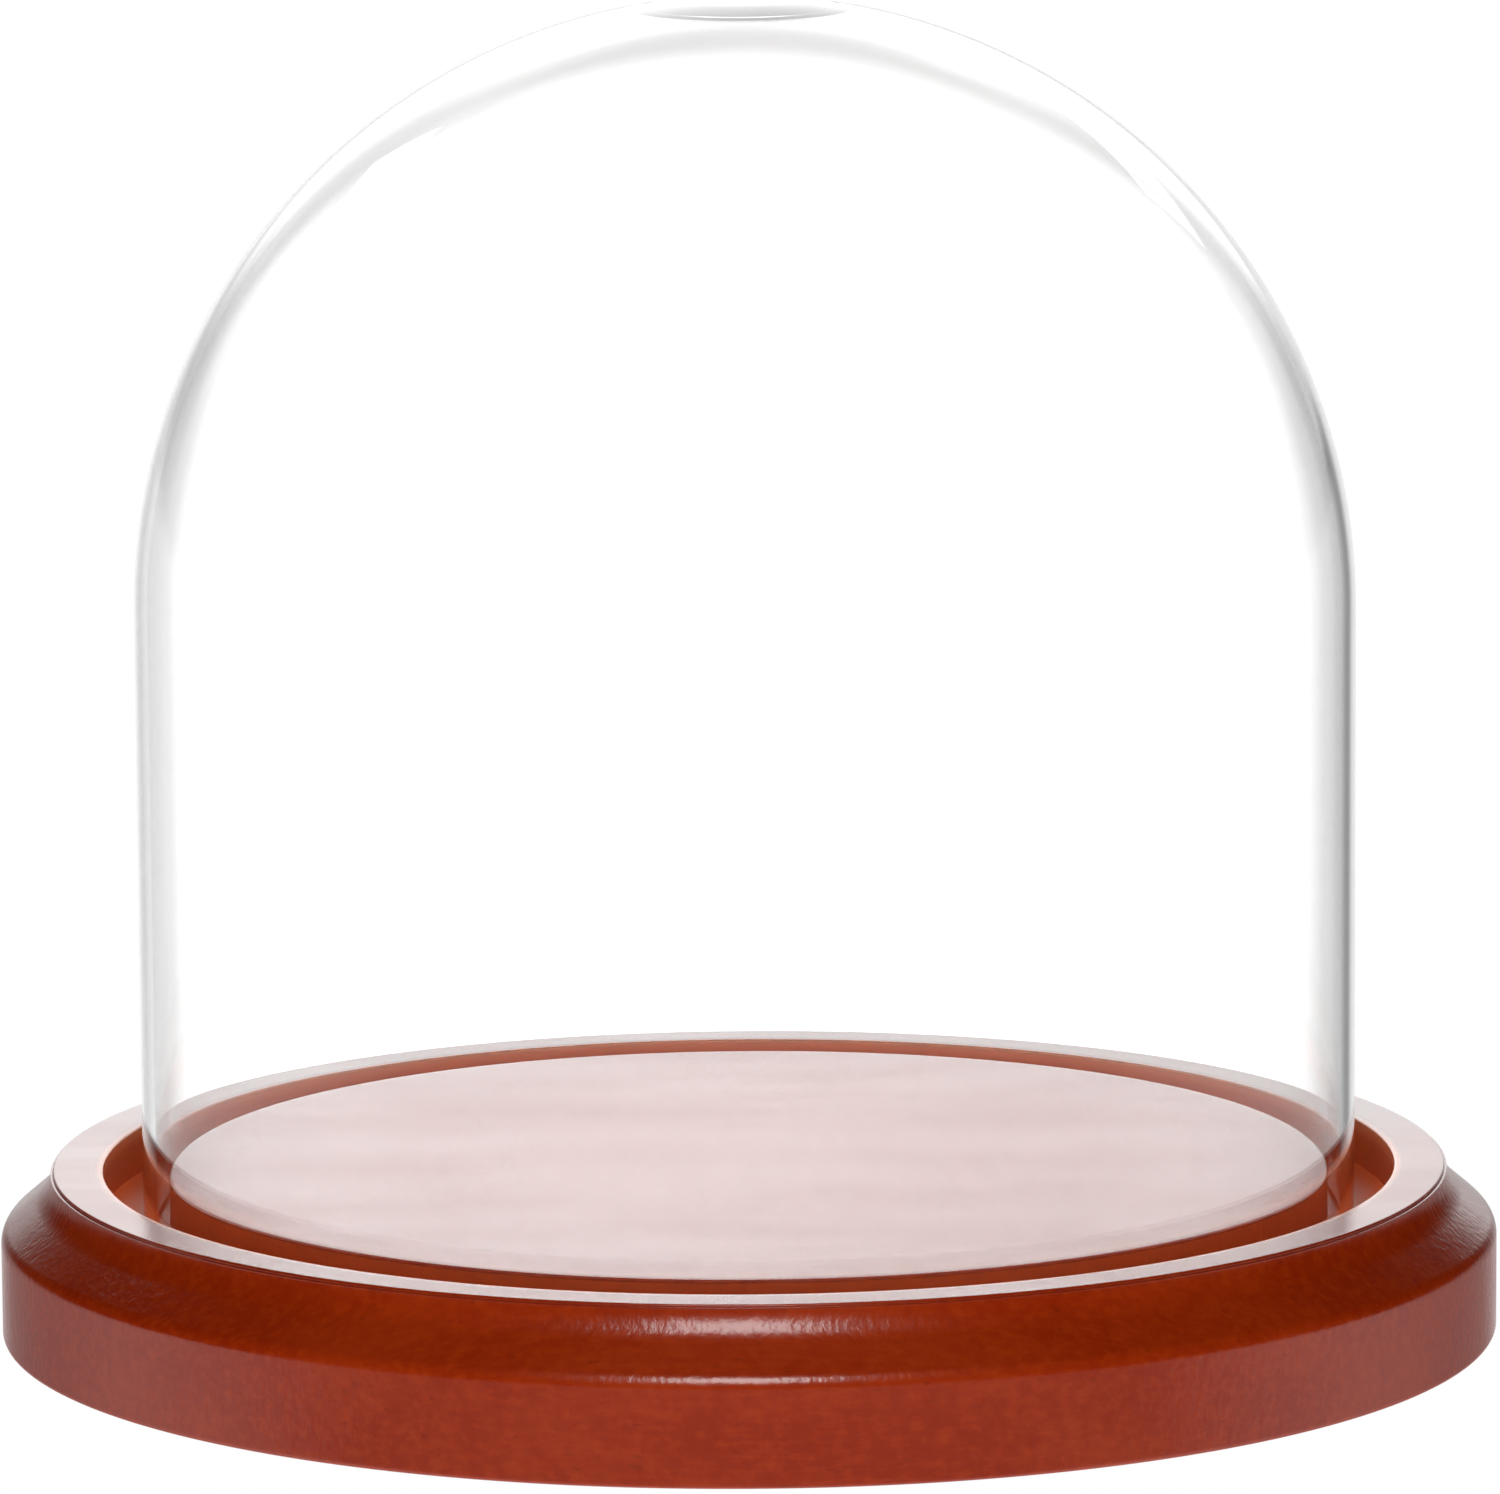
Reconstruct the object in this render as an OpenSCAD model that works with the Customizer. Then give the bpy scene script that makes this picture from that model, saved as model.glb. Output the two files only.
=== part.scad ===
// Cheese dome: a glass dome that stands in a ring groove turned in a round
// wooden base, with a felt disc let into the underside.
// +Z is up. The origin is on the table, at the centre of the felt's underside.

/* [Glass dome] */
// Outer diameter of the dome
dome_d = 203.2; // [150:0.1:260]
// Height of the dome from its rim to its crown
dome_h = 203.2; // [160:0.1:260]
// Wall of the glass
glass_t = 2.2; // [1.6:0.1:4]
// Diameter of the thick button of glass at the crown
button_d = 32; // [20:1:50]
// Step at the button's edge, inside the dome
button_step = 0.7; // [0.3:0.1:1.5]

/* [Wooden base] */
// Thickness of the wood
base_t = 27.8; // [22:0.1:40]
// Width of the flat ring outside the groove
ring_w = 8.4; // [5:0.1:20]
// Width of the moulded edge outside the ring
mould_w = 8.8; // [8.4:0.1:9.4]
// Height of the moulded edge, from the ring down to the straight side
mould_h = 11.9; // [11.8:0.1:14]
// Height of the upright step where the ring meets the moulding
fillet_h = 0.6; // [0.3:0.1:0.8]
// Width of the ledge at the foot of that step
fillet_w = 0.4; // [0.2:0.1:1]
// Radius of the moulding's hollow
cove_r = 8; // [6:0.1:8.2]
// Lean of the hollow's wall at the ledge, in degrees from upright
cove_lean = 8; // [6:1:12]
// Radius of the moulding's round outer edge
edge_r = 3.3; // [2:0.1:3.4]
// Rounding of the bottom edge
foot_r = 1; // [0.5:0.1:3]
// Rounding of the groove's two top edges
lip_r = 0.5; // [0.2:0.1:1]

/* [Fit of the dome in the groove] */
// Depth of the groove
groove_deep = 8; // [5:0.1:12]
// Gap between the plateau and the inside of the glass
gap_in = 2.3; // [1:0.1:5]
// Gap between the outside of the glass and the ring
gap_out = 6.6; // [1:0.1:9]
// Gap under the rim, where the glass rests on the groove's floor
gap_seat = 0.1; // [0.05:0.05:0.5]

/* [Felt] */
// Thickness of the felt disc
felt_t = 1.4; // [1:0.1:3]
// How far the felt stands out below the wood
felt_proud = 0.4; // [0.2:0.1:0.8]
// Width of the wood left around the felt
felt_margin = 9; // [5:0.5:20]
// Gap round the felt in its recess
felt_gap = 0.2; // [0.1:0.05:0.5]

/* [Hidden] */
$fn = 192;
cut = 1;                                  // how far a cut runs past the face it opens

// Dome, with heights counted from its rim
dome_r = dome_d / 2;
bore_r = dome_r - glass_t;
spring_h = dome_h - dome_r;               // where the wall turns into the half-sphere
button_r = button_d / 2;
button_h = spring_h + sqrt(pow(bore_r, 2) - pow(button_r, 2)) - button_step;

// Base, from the plateau out, with heights counted from the wood's underside
plateau_r = bore_r - gap_in;
groove_r = dome_r + gap_out;
ring_r = groove_r + ring_w;
base_r = ring_r + mould_w;
floor_h = base_t - groove_deep;

// Moulding: a hollow and a round outer edge, joined by a straight slope that touches both arcs
side_h = base_t - mould_h;
cove_h = base_t - fillet_h;
cove_c = [ring_r + fillet_w + cove_r * cos(cove_lean), cove_h + cove_r * sin(cove_lean)];
edge_c = [base_r - edge_r, side_h];
gap_c = cove_c - edge_c;                  // from the edge's centre to the hollow's
slope_a = atan2(gap_c.y, gap_c.x) - acos((cove_r + edge_r) / norm(gap_c));
slope_n = [cos(slope_a), sin(slope_a)];   // points out of the wood, square to the slope
cove_end = cove_c - cove_r * slope_n;
edge_end = edge_c + edge_r * slope_n;

felt_r = base_r - felt_margin - felt_gap;
rim_z = felt_proud + floor_h + gap_seat;

// A rectangle from the axis out to x, between two heights
module slab(x, low, high) {
    translate([0, low]) square([x, high - low]);
}

// A quarter of a disc, standing on the height where the half-sphere starts
module quarter(r) {
    translate([0, spring_h]) intersection() {
        circle(r = r);
        square(r);
    }
}

// Section of the dome: wall, half-sphere, button and a round fire-polished rim
module dome_section() {
    difference() {
        union() {
            slab(dome_r, glass_t / 2, spring_h);
            quarter(dome_r);
        }
        slab(bore_r, 0, spring_h);
        difference() {
            quarter(bore_r);
            slab(button_r, button_h, dome_h);
        }
    }
    translate([dome_r - glass_t / 2, glass_t / 2]) circle(d = glass_t);
}

// Section of the solid base out to its moulded edge, before the groove is cut
module blank_section() {
    slab(ring_r, 0, base_t);
    difference() {
        slab(cove_end.x, 0, cove_h);
        translate(cove_c) circle(r = cove_r);
    }
    polygon([[0, 0], [edge_c.x, 0], edge_c, edge_end, cove_end, [0, cove_end.y]]);
    translate(edge_c) circle(r = edge_r);
    slab(base_r, foot_r, side_h);
    slab(base_r - foot_r, 0, side_h);
    translate([base_r - foot_r, foot_r]) circle(r = foot_r);
}

// What is cut away to round one top edge of the groove; side is 1 outwards, -1 inwards
module lip_cut(x, side) {
    translate([x, base_t]) scale([side, 1]) difference() {
        translate([0, -lip_r]) square([lip_r, lip_r + cut]);
        translate([lip_r, -lip_r]) circle(r = lip_r);
    }
}

module base_section() {
    difference() {
        blank_section();
        translate([plateau_r, floor_h]) square([groove_r - plateau_r, groove_deep + cut]);
        lip_cut(plateau_r, -1);
        lip_cut(groove_r, 1);
        slab(felt_r + felt_gap, -cut, felt_t - felt_proud);
    }
}

module glass_dome() {
    color([0.86, 0.93, 0.92, 0.35]) translate([0, 0, rim_z]) rotate_extrude() dome_section();
}

module wood_base() {
    color([0.56, 0.20, 0.09]) translate([0, 0, felt_proud]) rotate_extrude() base_section();
}

module felt_pad() {
    color([0.14, 0.11, 0.09]) cylinder(r = felt_r, h = felt_t);
}

glass_dome();
wood_base();
felt_pad();
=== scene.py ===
"""A cheese dome: clear glass dome, turned and stained wooden base, felt under the base.

Everything is in metres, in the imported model's own frame: +Z up, origin on the table under the centre.
"""
import math

import bpy
import numpy as np
from mathutils import Matrix, Vector


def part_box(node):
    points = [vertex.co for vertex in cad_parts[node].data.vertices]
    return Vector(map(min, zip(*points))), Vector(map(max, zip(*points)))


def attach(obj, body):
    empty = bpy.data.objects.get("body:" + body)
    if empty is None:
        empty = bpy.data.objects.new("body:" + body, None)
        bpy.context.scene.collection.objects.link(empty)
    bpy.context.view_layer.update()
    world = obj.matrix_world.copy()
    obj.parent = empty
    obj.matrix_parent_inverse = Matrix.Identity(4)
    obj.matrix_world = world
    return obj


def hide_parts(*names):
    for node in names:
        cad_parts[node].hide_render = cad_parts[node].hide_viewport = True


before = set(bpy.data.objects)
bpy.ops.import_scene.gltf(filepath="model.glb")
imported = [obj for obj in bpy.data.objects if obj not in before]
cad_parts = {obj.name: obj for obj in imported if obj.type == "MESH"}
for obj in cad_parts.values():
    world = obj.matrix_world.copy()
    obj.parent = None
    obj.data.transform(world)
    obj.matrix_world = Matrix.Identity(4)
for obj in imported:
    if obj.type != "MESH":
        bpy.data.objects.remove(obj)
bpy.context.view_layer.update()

MM = 0.001
AROUND = 320                     # steps round the axis

# ---------------------------------------------------------------- sizes
dome_low, dome_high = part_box("glass_dome")
wood_low, wood_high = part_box("wood_base")
felt_low, felt_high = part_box("felt_pad")

DOME_R = dome_high.x
RIM_Z = dome_low.z
CROWN_Z = dome_high.z
SPRING_Z = CROWN_Z - DOME_R      # where the straight wall turns into the half-sphere
WALL = 2.2 * MM
BORE_R = DOME_R - WALL
BUTTON_R = 16 * MM
BUTTON_STEP = 0.7 * MM
BUTTON_EDGE_R = 0.45 * MM
RIPPLE_W = 4.2 * MM              # rings left where the crown was sealed
RIPPLE_H = 0.012 * MM

WOOD_R = wood_high.x
WOOD_LOW = wood_low.z
WOOD_TOP = wood_high.z
PLATEAU_R = DOME_R - WALL - 2.3 * MM
GROOVE_R = DOME_R + 6.6 * MM
GROOVE_Z = WOOD_TOP - 8 * MM
RING_R = WOOD_R - 8.8 * MM
SIDE_Z = WOOD_TOP - 11.9 * MM    # where the moulding turns into the straight side
FILLET_H = 0.6 * MM
FILLET_W = 0.4 * MM
COVE_R = 8 * MM
COVE_LEAN = 8                    # degrees
EDGE_R = 3.3 * MM
FOOT_R = 1 * MM
LIP_R = 0.5 * MM
ROLL_W = 1.6 * MM                # the flat tops sink by ROLL_H over this width before each lip
ROLL_H = 0.07 * MM
RIM_R = 0.35 * MM                # rounding of the ring's outer edge
FINE_R = 0.12 * MM               # softening of the sharpest corners
CRISP_R = 0.02 * MM              # the ledge's outer corner, which stays crisp
NOTCH = 0.1 * MM                 # dirt and lacquer in the ledge's inner corner
STEP = 0.3 * MM                  # how far a straight run stays clear of the rounding at its end

FELT_R = felt_high.x
FELT_TOP = felt_high.z
FELT_EDGE_R = 0.35 * MM
RECESS_R = FELT_R + 0.2 * MM

WEAR_AND_HIGHLIGHT_REACH = 1.4                 # mm from the groove's outer lip to where the wear and its painted highlight end
FLAT_DEPTH = 0.2 * MM            # rows this near the top belong to the flat sanded tops
HAIR = 0.01 * MM                 # slack in a comparison of two radii or heights
THIN_COAT_AND_GLOW = 0.45                 # how bare the groove's floor, its inner wall and the underside are, and how much painted glow lightens them


# ---------------------------------------------------------------- shapes
def arc(centre, radius, start, end, steps=6):
    """Rows of (r, z) on a circle's arc: centre plus radius times (cos a, sin a).

    The angle a goes from start to end, in degrees.
    """
    a = np.radians(np.linspace(start, end, steps))
    return np.stack([centre[0] + radius * np.cos(a), centre[1] + radius * np.sin(a)], 1)


def line(start, end, steps=2):
    """Rows of (r, z) at even steps on the straight line from start to end."""
    return np.linspace(start, end, steps)


def lathe(name, section, **marks):
    """Turns a section, rows of (r, z) from axis to axis with the solid on its left, round the Z axis.

    The point (r, z) at angle t lands on (r cos t, r sin t, z), and the two ends are single points on
    the axis. Each of marks gives one number for each row of the section, and is kept on the mesh as
    an attribute of that name.
    """
    t = np.linspace(0, 2 * np.pi, AROUND, endpoint=False)
    rows = section[1:-1]
    r, z = rows[:, :1], rows[:, 1:]
    ring = np.stack([r * np.cos(t), r * np.sin(t), np.repeat(z, AROUND, 1)], -1).reshape(-1, 3)
    first, last = [0, 0, section[0, 1]], [0, 0, section[-1, 1]]
    points = np.vstack([ring, [first, last]])
    row, col = np.meshgrid(np.arange(len(rows) - 1), np.arange(AROUND), indexing="ij")
    here = (row * AROUND + col).ravel()
    beside = (row * AROUND + (col + 1) % AROUND).ravel()
    quads = np.stack([here, beside, beside + AROUND, here + AROUND], 1)
    col = np.arange(AROUND)
    after = (col + 1) % AROUND
    top = (len(rows) - 1) * AROUND
    fans = np.vstack([
        np.stack([np.full(AROUND, len(ring)), after, col], 1),
        np.stack([np.full(AROUND, len(ring) + 1), top + col, top + after], 1),
    ])
    mesh = bpy.data.meshes.new(name)
    mesh.from_pydata(points, [], quads.tolist() + fans.tolist())
    mesh.polygons.foreach_set("use_smooth", np.ones(len(mesh.polygons), bool))
    for mark, shares in marks.items():
        values = np.concatenate([np.repeat(shares[1:-1], AROUND), [shares[0], shares[-1]]])
        mesh.attributes.new(mark, "FLOAT", "POINT").data.foreach_set("value", values)
    piece = bpy.data.objects.new(name, mesh)
    bpy.context.scene.collection.objects.link(piece)
    return piece


def dome_section():
    """Inner crown, button, inner half-sphere and wall, round rim, outer wall, outer half-sphere.

    The button's face sinks by half of RIPPLE_H times (1 - cos of the turns of RIPPLE_W from the axis).
    """
    button_z = SPRING_Z + math.sqrt(BORE_R ** 2 - BUTTON_R ** 2) - BUTTON_STEP
    button_edge = (BUTTON_R - BUTTON_EDGE_R, button_z + BUTTON_EDGE_R)
    start = math.degrees(math.acos((BUTTON_R + 2 * BUTTON_EDGE_R) / BORE_R))
    face = line((0, button_z), (BUTTON_R - 2 * BUTTON_EDGE_R, button_z), 40)
    face[:, 1] -= RIPPLE_H / 2 * (1 - np.cos(2 * np.pi * face[:, 0] / RIPPLE_W))
    return np.vstack([
        face,
        arc(button_edge, BUTTON_EDGE_R, -90, 10, 10),
        arc((0, SPRING_Z), BORE_R, start, 0, 80),
        line((BORE_R, SPRING_Z - 2 * MM), (BORE_R, RIM_Z + WALL), 8),
        arc((DOME_R - WALL / 2, RIM_Z + WALL / 2), WALL / 2, 180, 360, 17),
        line((DOME_R, RIM_Z + WALL), (DOME_R, SPRING_Z - 2 * MM), 8),
        arc((0, SPRING_Z), DOME_R, 0, 90, 100),
    ])


def rolled(centre_r, side):
    """The rubbed lip of a flat top, from the flat to the groove wall.

    A parabola sinks by ROLL_H over ROLL_W, then a quarter of an ellipse, LIP_R wide and as high as is
    left of LIP_R, turns it down. side is 1 where the groove is towards the axis, and -1 where it is
    away from it.
    """
    share = np.linspace(0, 1, 8)
    soft = np.stack([centre_r + side * ROLL_W * (1 - share), WOOD_TOP - ROLL_H * share ** 2], 1)
    turn = np.radians(np.linspace(2 * math.degrees(math.atan(ROLL_H / ROLL_W)), 90, 9))
    hard = np.stack([centre_r - side * LIP_R * np.sin(turn),
                     WOOD_TOP - ROLL_H - (LIP_R - ROLL_H) * (1 - np.cos(turn))], 1)
    return np.vstack([soft, hard])


def wood_section():
    """The recess, the foot, the side, the moulding, the ring, the groove and the plateau.

    The moulding is a hollow arc and an edge arc. Each ends where the straight slope that touches both
    begins, which is at the angle of the line between their centres less the angle whose cosine is the
    sum of their radii over that line's length.
    """
    cove_z = WOOD_TOP - FILLET_H
    lean = math.radians(COVE_LEAN)
    cove = np.array([RING_R + FILLET_W + COVE_R * math.cos(lean), cove_z + COVE_R * math.sin(lean)])
    edge = np.array([WOOD_R - EDGE_R, SIDE_Z])
    gap = cove - edge
    across = math.acos((COVE_R + EDGE_R) / np.linalg.norm(gap))
    slope = math.degrees(math.atan2(gap[1], gap[0]) - across)
    wall_top = WOOD_TOP - LIP_R - STEP
    return np.vstack([
        line((0, FELT_TOP), (RECESS_R, FELT_TOP), 8),
        line((RECESS_R, FELT_TOP - STEP), (RECESS_R, WOOD_LOW + STEP)),
        arc((RECESS_R + FINE_R, WOOD_LOW + FINE_R), FINE_R, 180, 270),
        line((RECESS_R + STEP, WOOD_LOW), (WOOD_R - FOOT_R - STEP, WOOD_LOW), 4),
        arc((WOOD_R - FOOT_R, WOOD_LOW + FOOT_R), FOOT_R, -90, 0, 12),
        line((WOOD_R, WOOD_LOW + FOOT_R + STEP), (WOOD_R, SIDE_Z - STEP), 12),
        arc(edge, EDGE_R, 0, slope, 22),
        arc(cove, COVE_R, slope + 180, COVE_LEAN + 180, 32),
        arc((RING_R + FILLET_W, cove_z), CRISP_R, 0, 90, 3),
        line((RING_R + NOTCH, cove_z), (RING_R, cove_z + NOTCH)),
        line((RING_R, cove_z + 1.5 * NOTCH), (RING_R, WOOD_TOP - RIM_R - 0.5 * NOTCH)),
        arc((RING_R - RIM_R, WOOD_TOP - RIM_R), RIM_R, 0, 90, 8),
        line((RING_R - RIM_R - STEP, WOOD_TOP), (GROOVE_R + LIP_R + 1.5 * ROLL_W, WOOD_TOP), 4),
        rolled(GROOVE_R + LIP_R, 1),
        line((GROOVE_R, wall_top), (GROOVE_R, GROOVE_Z + STEP), 5),
        arc((GROOVE_R - FINE_R, GROOVE_Z + FINE_R), FINE_R, 360, 270),
        line((GROOVE_R - STEP, GROOVE_Z), (PLATEAU_R + STEP, GROOVE_Z), 5),
        arc((PLATEAU_R + FINE_R, GROOVE_Z + FINE_R), FINE_R, 270, 180),
        line((PLATEAU_R, GROOVE_Z + STEP), (PLATEAU_R, wall_top), 5),
        rolled(PLATEAU_R - LIP_R, -1)[::-1],
        line((PLATEAU_R - LIP_R - 2 * ROLL_W, WOOD_TOP), (0, WOOD_TOP), 30),
    ])


def felt_section():
    """A disc with softly rounded top and bottom edges."""
    rounding_r = FELT_R - FELT_EDGE_R
    flat_r = FELT_R - 2 * FELT_EDGE_R
    return np.vstack([
        line((0, 0), (flat_r, 0), 30),
        arc((rounding_r, FELT_EDGE_R), FELT_EDGE_R, -90, 0),
        arc((rounding_r, FELT_TOP - FELT_EDGE_R), FELT_EDGE_R, 0, 90),
        line((flat_r, FELT_TOP), (0, FELT_TOP), 4),
    ])


# ---------------------------------------------------------------- materials
class Sum:
    """Wraps one socket of a shader, so that an expression on it adds the Math nodes that it needs."""

    def __init__(self, shader, socket):
        self.shader = shader
        self.socket = socket

    def __add__(self, other):
        return self.shader.math("ADD", self, other)

    def __rsub__(self, other):
        return self.shader.math("SUBTRACT", other, self)

    def __mul__(self, other):
        return self.shader.math("MULTIPLY", self, other)

    __radd__ = __add__
    __rmul__ = __mul__


class Shader:
    """A node tree that is filled by node(): a type, its settings, then values or links for its sockets."""

    def __init__(self, owner):
        owner.use_nodes = True
        self.tree = owner.node_tree
        self.tree.nodes.clear()

    def node(self, kind, settings=None, inputs=None, out=0):
        made = self.tree.nodes.new(kind)
        for key, value in (settings or {}).items():
            if key == "stops":
                while len(made.color_ramp.elements) < len(value):
                    made.color_ramp.elements.new(0.5)
                for element, (place, colour) in zip(made.color_ramp.elements, value):
                    element.position = place
                    element.color = colour
            else:
                setattr(made, key, value)
        pairs = inputs.items() if isinstance(inputs, dict) else enumerate(inputs or [])
        for key, value in pairs:
            if isinstance(value, Sum):
                self.tree.links.new(value.socket, made.inputs[key])
            elif value is not None:
                made.inputs[key].default_value = value
        return Sum(self, made.outputs[out]) if made.outputs else None

    def math(self, operation, first, second):
        return self.node("ShaderNodeMath", {"operation": operation}, [first, second])

    def noise(self, place, scale, detail, roughness):
        return self.node("ShaderNodeTexNoise", {"noise_dimensions": "3D"}, {
            "Vector": place, "Scale": scale, "Detail": detail, "Roughness": roughness})

    def stretched(self, place, x, y, z):
        """The place with each axis scaled: a pattern on it is drawn out along axes with small numbers."""
        return self.node("ShaderNodeMapping", {"vector_type": "POINT"}, {
            "Vector": place, "Scale": (x, y, z)})

    def band(self, value, low, high, to_low=0.0, to_high=1.0):
        """value carried from low..high to to_low..to_high, clamped, with soft ends."""
        return self.node("ShaderNodeMapRange", {"interpolation_type": "SMOOTHSTEP"}, [
            value, low, high, to_low, to_high])

    def blend(self, share, one, other):
        """A colour mixed from one to other by share."""
        return self.node("ShaderNodeMix", {"data_type": "RGBA", "blend_type": "MIX"}, {
            0: share, 6: one, 7: other}, out=2)

    def bump(self, height, distance, strength=1.0):
        return self.node("ShaderNodeBump", {}, {
            "Height": height, "Distance": distance, "Strength": strength})

    def finish(self, surface, volume=None):
        world = surface.socket.node.type == "BACKGROUND"
        self.node("ShaderNodeOutputWorld" if world else "ShaderNodeOutputMaterial", {}, {
            "Surface": surface, "Volume": volume})


def clear_glass():
    """Clear soda-lime glass: smooth, with a faint grey-green that only shows along the wall."""
    material = bpy.data.materials.new("clear_glass")
    s = Shader(material)
    glass = s.node("ShaderNodeBsdfPrincipled", {}, {
        "Base Color": (1, 1, 1, 1), "Roughness": 0.0, "IOR": 1.5, "Transmission Weight": 1.0})
    tint = s.node("ShaderNodeVolumeAbsorption", {}, {"Color": (0.2, 0.30, 0.24, 1), "Density": 6.0})
    s.finish(glass, tint)
    return material


DEEP_STAIN = (0.205, 0.0135, 0.0010, 1)
MID_STAIN = (0.238, 0.0190, 0.0014, 1)
LIGHT_STAIN = (0.280, 0.0265, 0.0020, 1)
FLECK_STAIN = (0.14, 0.012, 0.002, 1)
PAINTED_GLOW_STAIN = (0.62, 0.095, 0.014, 1)       # painted glow: the lighter orange that the groove walls and the underside are blended towards, standing in for light
# rubbed wood on the groove's outer lip, made bright pink-orange as a painted highlight along that edge
RUBBED_AND_HIGHLIGHT_STAIN = (0.85, 0.27, 0.12, 1)


def stained_wood():
    """Red-brown stain on a close-grained wood under a satin lacquer, paler on the groove's outer lip,
    which is rubbed and carries a painted highlight.

    The fibres run along X. Each layer changes the stain only a little: soft clouds, fine fibres, and
    small dark flecks.
    """
    material = bpy.data.materials.new("stained_wood")
    s = Shader(material)
    place = s.node("ShaderNodeTexCoord", {}, {}, out="Object")
    wear, peel, bare = (s.node("ShaderNodeAttribute", {"attribute_name": mark}, {}, out="Fac")
                        for mark in ("wear", "peel", "bare"))
    clouds = s.noise(s.stretched(place, 14, 40, 40), 1.0, 3.0, 0.55)
    fibres = s.noise(s.stretched(place, 120, 900, 900), 1.0, 4.0, 0.6)
    mottle = s.noise(place, 420.0, 3.0, 0.6)
    flecks = s.noise(s.stretched(place, 260, 1100, 1100), 1.0, 1.0, 0.4)
    colour = s.blend(s.band(clouds * 0.7 + mottle * 0.3, 0.38, 0.62), DEEP_STAIN, MID_STAIN)
    colour = s.blend(s.band(fibres * 0.6 + mottle * 0.4, 0.42, 0.68) * 0.6, colour, LIGHT_STAIN)
    colour = s.blend(s.band(flecks, 0.70, 0.78) * 0.5, colour, FLECK_STAIN)
    # painted glow: the groove walls, and the underside, are lightened towards a pale orange that stands in
    # for light; the added roughness below is the thin lacquer
    colour = s.blend(bare * 0.9, colour, PAINTED_GLOW_STAIN)
    # wear and painted highlight: the groove's outer lip is rubbed paler and painted as a bright pink line
    colour = s.blend(wear * 0.7, colour, RUBBED_AND_HIGHLIGHT_STAIN)
    rough = s.band(clouds, 0.3, 0.7, 0.20, 0.25) + bare * 0.35
    ripple = s.noise(s.stretched(place, 800, 800, 450), 1.0, 2.0, 0.5)
    coat = s.bump((ripple * 0.85 + fibres * 0.15) * peel, 0.1 * MM)
    lacquer = s.node("ShaderNodeBsdfPrincipled", {}, {
        "Base Color": colour, "Roughness": rough, "IOR": 1.47, "Normal": coat})
    s.finish(lacquer)
    return material


FELT_DARK = (0.010, 0.007, 0.005, 1)
FELT_PALE = (0.045, 0.030, 0.022, 1)


def wool_felt():
    """Dense dark brown wool felt with a fuzzy, mottled face."""
    material = bpy.data.materials.new("wool_felt")
    s = Shader(material)
    place = s.node("ShaderNodeTexCoord", {}, {}, out="Object")
    fuzz = s.noise(place, 900.0, 4.0, 0.65)
    cloud = s.noise(place, 60.0, 3.0, 0.6)
    colour = s.blend(s.band(fuzz * 0.6 + cloud * 0.4, 0.35, 0.65), FELT_DARK, FELT_PALE)
    felt = s.node("ShaderNodeBsdfPrincipled", {}, {
        "Base Color": colour, "Roughness": 0.95, "Sheen Weight": 0.4, "Sheen Roughness": 0.5,
        "Normal": s.bump(fuzz, 0.3 * MM, 0.8)})
    s.finish(felt)
    return material


# ---------------------------------------------------------------- the object
def edge_wear_and_highlight(section):
    """How rubbed each row of a section is, and how much painted highlight it carries: 1 on the groove's
    outer lip, falling to 0 at the reach given above.
    """
    away = np.linalg.norm(section - (GROOVE_R, WOOD_TOP), axis=1)
    return np.clip(WEAR_AND_HIGHLIGHT_REACH - away / MM, 0, 1)


def lacquer_peel(section):
    """How uneven the lacquer dried: 1 on the rows of turned faces, and 0 on the flat sanded tops."""
    return np.where(section[:, 1] > WOOD_TOP - FLAT_DEPTH, 0.0, 1.0)


def bare_and_glow_faces(section):
    """How little lacquer each row of a section got, and how much painted glow lightens its colour, which
    stands in for light on the groove walls.

    It is 1 on the groove's outer wall, the thin-coat share in the rest of the groove and under the base,
    and 0 elsewhere.
    """
    r, z = section.T
    groove = (r > PLATEAU_R - HAIR) & (r < GROOVE_R + HAIR) & (z < WOOD_TOP - LIP_R)
    under = z < WOOD_LOW + HAIR
    return np.where(groove & (r > DOME_R), 1.0, np.where(groove | under, THIN_COAT_AND_GLOW, 0.0))


dome = lathe("dome_glass", dome_section())
dome.data.materials.append(clear_glass())
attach(dome, "dome")
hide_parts("glass_dome")

base_section = wood_section()
base = lathe("base_wood", base_section, wear=edge_wear_and_highlight(base_section), peel=lacquer_peel(base_section),
             bare=bare_and_glow_faces(base_section))
base.data.materials.append(stained_wood())
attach(base, "base")
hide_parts("wood_base")

felt = lathe("base_felt", felt_section())
felt.data.materials.append(wool_felt())
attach(felt, "base")
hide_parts("felt_pad")


# ---------------------------------------------------------------- studio
BACK_LEVEL = 1.75                # the white backdrop straight behind the object
UPPER_LEVEL = 1.44               # how much brighter a surface mirrors the backdrop above the table
UNDER_DOME = 0.45                # even light, per wall passed, for matt wood behind glass
IN_DOME = 0.30                   # the least that the lacquer under the dome mirrors through the glass
DULLED = 0.8                     # how much less of what is mirrored lights a matt surface
SEEN_THROUGH = [(-90, 0.56), (-40, 0.60), (-20, 0.72), (-14, 0.70), (-10.5, 0.68), (-7.5, 1.0),
                (6.5, 1.0), (9.5, 0.68), (11, 0.57), (12.5, 0.44), (16, 0.21), (21.5, 0.21),
                (27, 0.50), (36, 0.56), (90, 0.54)]
MIRRORED = [(-90, 0.0), (-27, 0.0), (-22, 0.15), (-17, 0.55), (-11, 1.0),
            (0, 1.0), (3, 0.90), (8, 0.88), (17, 0.88), (20, 0.45), (24, 0.12), (28, 0.0), (90, 0.0)]


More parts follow.
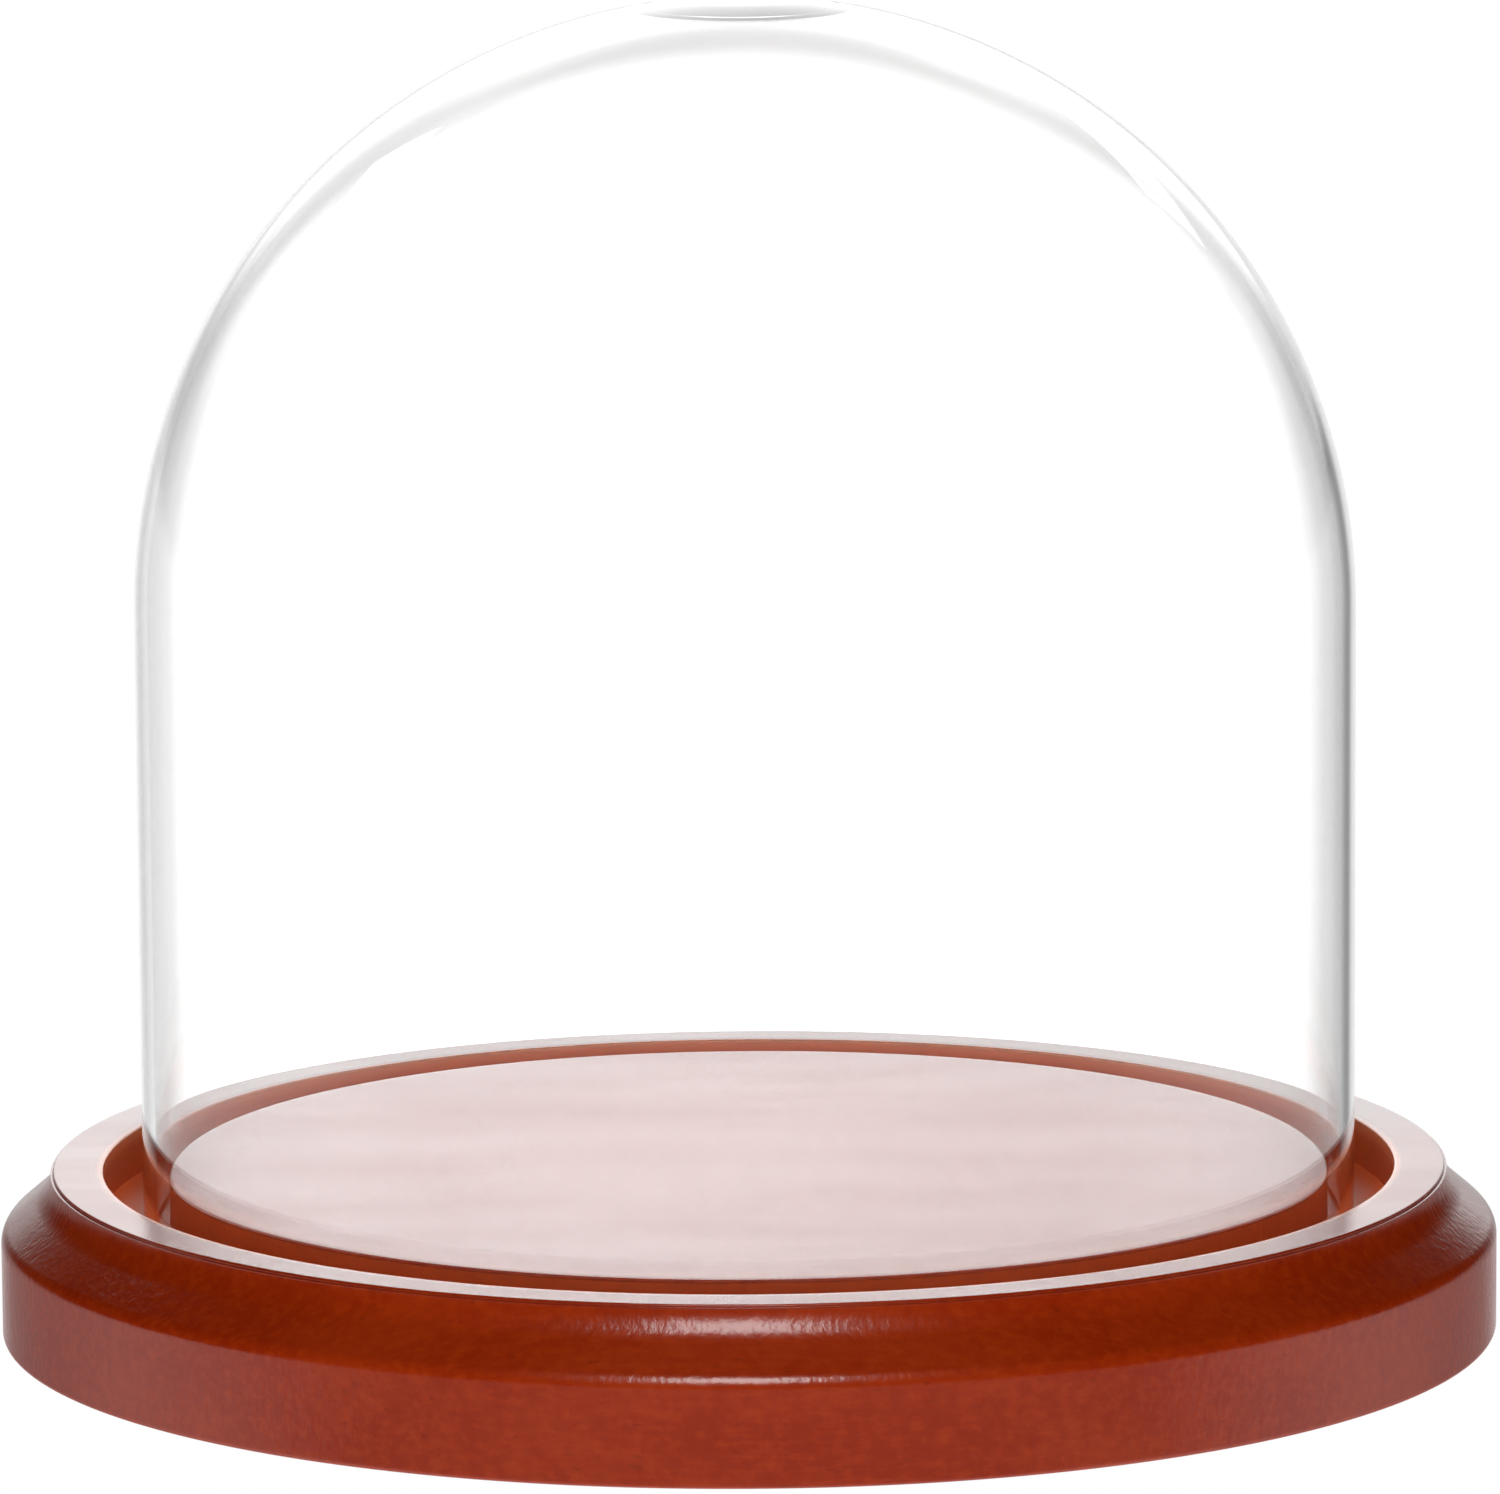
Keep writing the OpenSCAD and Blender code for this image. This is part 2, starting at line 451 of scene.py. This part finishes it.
def studio_world():
    """White backdrop behind the object, fading towards the sides and overhead, and a pale table.

    SEEN_THROUGH and MIRRORED give the backdrop's share of its full level at some bearings from +Y, in
    degrees. The first is for a ray that met only the glass: it passed a single wall, or both walls
    without being mirrored. The second is for all others.
    """
    world = bpy.data.worlds.new("studio")
    bpy.context.scene.world = world
    s = Shader(world)
    ray = s.node("ShaderNodeTexCoord", {}, {}, out="Generated")
    x, y, z = (s.node("ShaderNodeSeparateXYZ", {}, [ray], out=i) for i in range(3))
    bearing = s.math("ARCTAN2", x, y) * (1 / math.pi) + 0.5

    def round_about(stops):
        shares = [((degrees + 90) / 180, (share, share, share, 1)) for degrees, share in stops]
        return s.node("ShaderNodeValToRGB", {"stops": shares}, [bearing]) * BACK_LEVEL

    above_table = s.band(z, 0.02, 0.10, 0.55, UPPER_LEVEL)
    below_ceiling = s.band(z, 0.44, 0.60, 1.0, 0.0)
    backdrop = round_about(MIRRORED) * above_table * below_ceiling
    nearer = s.band(y, -0.55, -0.05, 0.24, 0.90)
    farther = s.band(y, 0.2, 0.8, 1.0, 0.35)
    table = nearer * farther * s.band(z, -0.06, -0.02, 1.0, 0.0)
    mirrored = s.math("MAXIMUM", backdrop, table)
    low = s.band(z, -0.015, -0.055)
    through = low * round_about(SEEN_THROUGH) + (1 - low) * s.band(z, 0.05, 0.17, 0.95, 1.50)

    leaving, passed, glossy, diffuse = (s.node("ShaderNodeLightPath", {}, {}, out=name) for name in (
        "Is Transmission Ray", "Transmission Depth", "Glossy Depth", "Diffuse Depth"))
    scattered = s.math("MINIMUM", diffuse, 1.0)
    one_wall = s.math("LESS_THAN", passed, 3.0)
    unmirrored = s.math("LESS_THAN", glossy, 0.5)
    clean = s.math("MAXIMUM", one_wall, unmirrored)
    glass_only = leaving * clean * (1 - scattered)
    inside = s.math("MAXIMUM", mirrored, leaving * (1 - clean) * IN_DOME)
    from_glass = glass_only * through
    from_wood = (1 - glass_only) * (1 - scattered * DULLED) * inside
    under_dome = leaving * scattered * passed * UNDER_DOME
    s.finish(s.node("ShaderNodeBackground", {}, {
        "Color": (1, 1, 1, 1), "Strength": from_glass + from_wood + under_dome}))


def plain_white():
    """A white that glows evenly by itself, so that table and room look the same in every view."""
    material = bpy.data.materials.new("white")
    s = Shader(material)
    s.finish(s.node("ShaderNodeEmission", {}, {"Color": (1, 1, 1, 1), "Strength": 1.0}))
    return material


TABLE_R = 4.0
TABLE_Z = -0.1 * MM              # just under the felt
ROOM_R = 6.0


def surround():
    """A plain white table and room, which only the camera sees."""
    bpy.ops.mesh.primitive_circle_add(vertices=96, radius=TABLE_R, fill_type="NGON",
                                      location=(0, 0, TABLE_Z))
    table = bpy.context.object
    bpy.ops.mesh.primitive_uv_sphere_add(segments=48, ring_count=24, radius=ROOM_R)
    room = bpy.context.object
    white = plain_white()
    for thing, name in ((table, "table"), (room, "room")):
        thing.name = name
        thing.data.materials.append(white)
        for reach in ("diffuse", "glossy", "transmission", "shadow"):
            setattr(thing, "visible_" + reach, False)


LIT_POINT = Vector((0, 0, 0.02))     # what every lamp is turned to


def softbox(name, azimuth, elevation, distance, width, height, level, mirrored=True):
    """A soft rectangular light, which a surface mirrors only if mirrored is true.

    Azimuth 0 is the camera's side and grows towards +X, and elevation is from the table, in degrees.
    """
    a = math.radians(azimuth)
    e = math.radians(elevation)
    away = Vector((math.sin(a) * math.cos(e), -math.cos(a) * math.cos(e), math.sin(e)))
    light = bpy.data.lights.new(name, "AREA")
    light.shape = "RECTANGLE"
    light.size = width
    light.size_y = height
    light.energy = level * math.pi * width * height
    lamp = bpy.data.objects.new(name, light)
    bpy.context.scene.collection.objects.link(lamp)
    lamp.location = LIT_POINT + away * distance
    lamp.rotation_euler = away.to_track_quat("Z", "Y").to_euler()
    lamp.visible_camera = False
    lamp.visible_transmission = False
    lamp.visible_glossy = mirrored


LENS = 253.26                    # mm, on a sensor 36 mm wide
CAMERA_AWAY = 1.7608
CAMERA_PITCH = 9.094             # degrees above the table
CAMERA_ROLL = -0.37              # degrees about its own axis
ORBIT_Z = 0.1004                 # height of the point that the camera stands CAMERA_AWAY from
CAMERA_AIM = Vector((0.0007, 0, 0.0981))


def camera():
    """A long lens from a little above the table, turned slightly about its own axis."""
    pitch = math.radians(CAMERA_PITCH)
    data = bpy.data.cameras.new("camera")
    data.lens = LENS
    data.sensor_width = 36
    shot = bpy.data.objects.new("camera", data)
    bpy.context.scene.collection.objects.link(shot)
    shot.location = (0, -CAMERA_AWAY * math.cos(pitch), ORBIT_Z + CAMERA_AWAY * math.sin(pitch))
    look = (shot.location - CAMERA_AIM).to_track_quat("Z", "Y").to_matrix()
    roll = Matrix.Rotation(math.radians(CAMERA_ROLL), 3, "Z")
    shot.rotation_euler = (look @ roll).to_euler()
    bpy.context.scene.camera = shot


studio_world()
surround()
softbox("key", -2, 42, 1.6, 0.50, 0.76, 12.0)
softbox("front_fill", 0, 25, 0.45, 0.15, 0.15, 4.5, mirrored=False)
softbox("left_rim", 216, 33, 1.6, 0.30, 0.22, 1.8)
softbox("right_rim", 152, 24, 1.6, 0.30, 0.20, 1.0)
softbox("table_glow", 0, -90, 0.2, 2.4, 2.4, 1.70, mirrored=False)
camera()
bpy.context.scene.view_settings.view_transform = "Standard"
